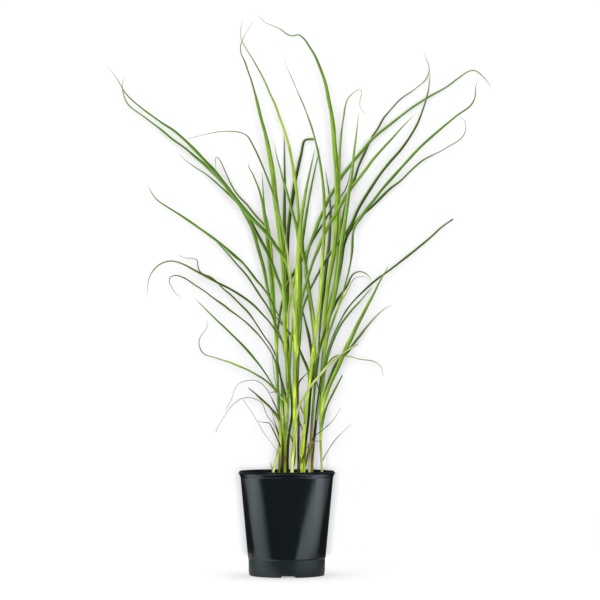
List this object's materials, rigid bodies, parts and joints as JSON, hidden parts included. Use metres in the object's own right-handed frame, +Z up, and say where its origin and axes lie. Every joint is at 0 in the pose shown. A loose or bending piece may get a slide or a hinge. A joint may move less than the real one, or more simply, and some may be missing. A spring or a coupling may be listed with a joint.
{
  "type": "potted ornamental grass clump",
  "caption": "Clump of ornamental grass with long arching blades on upright shoots, growing in soil in a deep round plastic nursery pot.",
  "frame": {"origin": "centre of the flat disc under the pot, on the floor", "axes": "+Z up along the pot's axis; -Y is the front, the side the picture shows; +X is right as seen from the front"},
  "size_m": [0.6796, 0.4109, 0.9959],
  "materials": {
    "pot_plastic": "satin",
    "potting_soil": "matte",
    "lime_grass": "satin",
    "bright_grass": "satin",
    "green_grass": "satin",
    "dark_grass": "satin",
    "olive_grass": "satin",
    "yellow_grass": "satin",
    "pale_grass": "satin",
    "purple_brown_grass": "satin"
  },
  "bodies": {
    "root": {"pot": "pot_plastic", "soil": "potting_soil", "shoot_01": "lime_grass", "shoot_02": "green_grass", "shoot_03": "purple_brown_grass", "shoot_04": "lime_grass", "shoot_05": "dark_grass", "shoot_06": "lime_grass", "shoot_07": "purple_brown_grass", "shoot_08": "lime_grass", "shoot_09": "dark_grass", "shoot_10": "purple_brown_grass", "shoot_11": "green_grass", "shoot_12": "lime_grass", "leaf_01": "green_grass", "leaf_02": "green_grass", "leaf_03": "dark_grass", "leaf_04": "lime_grass", "leaf_05": "olive_grass", "leaf_06": "bright_grass", "leaf_07": "olive_grass", "leaf_08": "bright_grass", "leaf_09": "bright_grass", "leaf_10": "dark_grass", "leaf_11": "green_grass", "leaf_12": "dark_grass", "leaf_13": "bright_grass", "leaf_14": "green_grass", "leaf_15": "dark_grass", "leaf_16": "yellow_grass", "leaf_17": "lime_grass", "leaf_18": "dark_grass", "leaf_19": "dark_grass", "leaf_20": "dark_grass", "leaf_21": "green_grass", "leaf_22": "green_grass", "leaf_23": "bright_grass", "leaf_24": "dark_grass", "leaf_25": "green_grass", "leaf_26": "lime_grass", "leaf_27": "green_grass", "leaf_28": "green_grass", "leaf_29": "dark_grass", "leaf_30": "olive_grass", "leaf_31": "olive_grass", "leaf_32": "green_grass", "leaf_33": "green_grass", "leaf_34": "green_grass", "leaf_35": "dark_grass", "leaf_36": "dark_grass", "leaf_37": "yellow_grass", "leaf_38": "bright_grass", "leaf_39": "green_grass", "leaf_40": "dark_grass", "leaf_41": "pale_grass", "leaf_42": "olive_grass", "leaf_43": "dark_grass", "leaf_44": "dark_grass", "leaf_45": "dark_grass"}
  },
  "joints": []
}
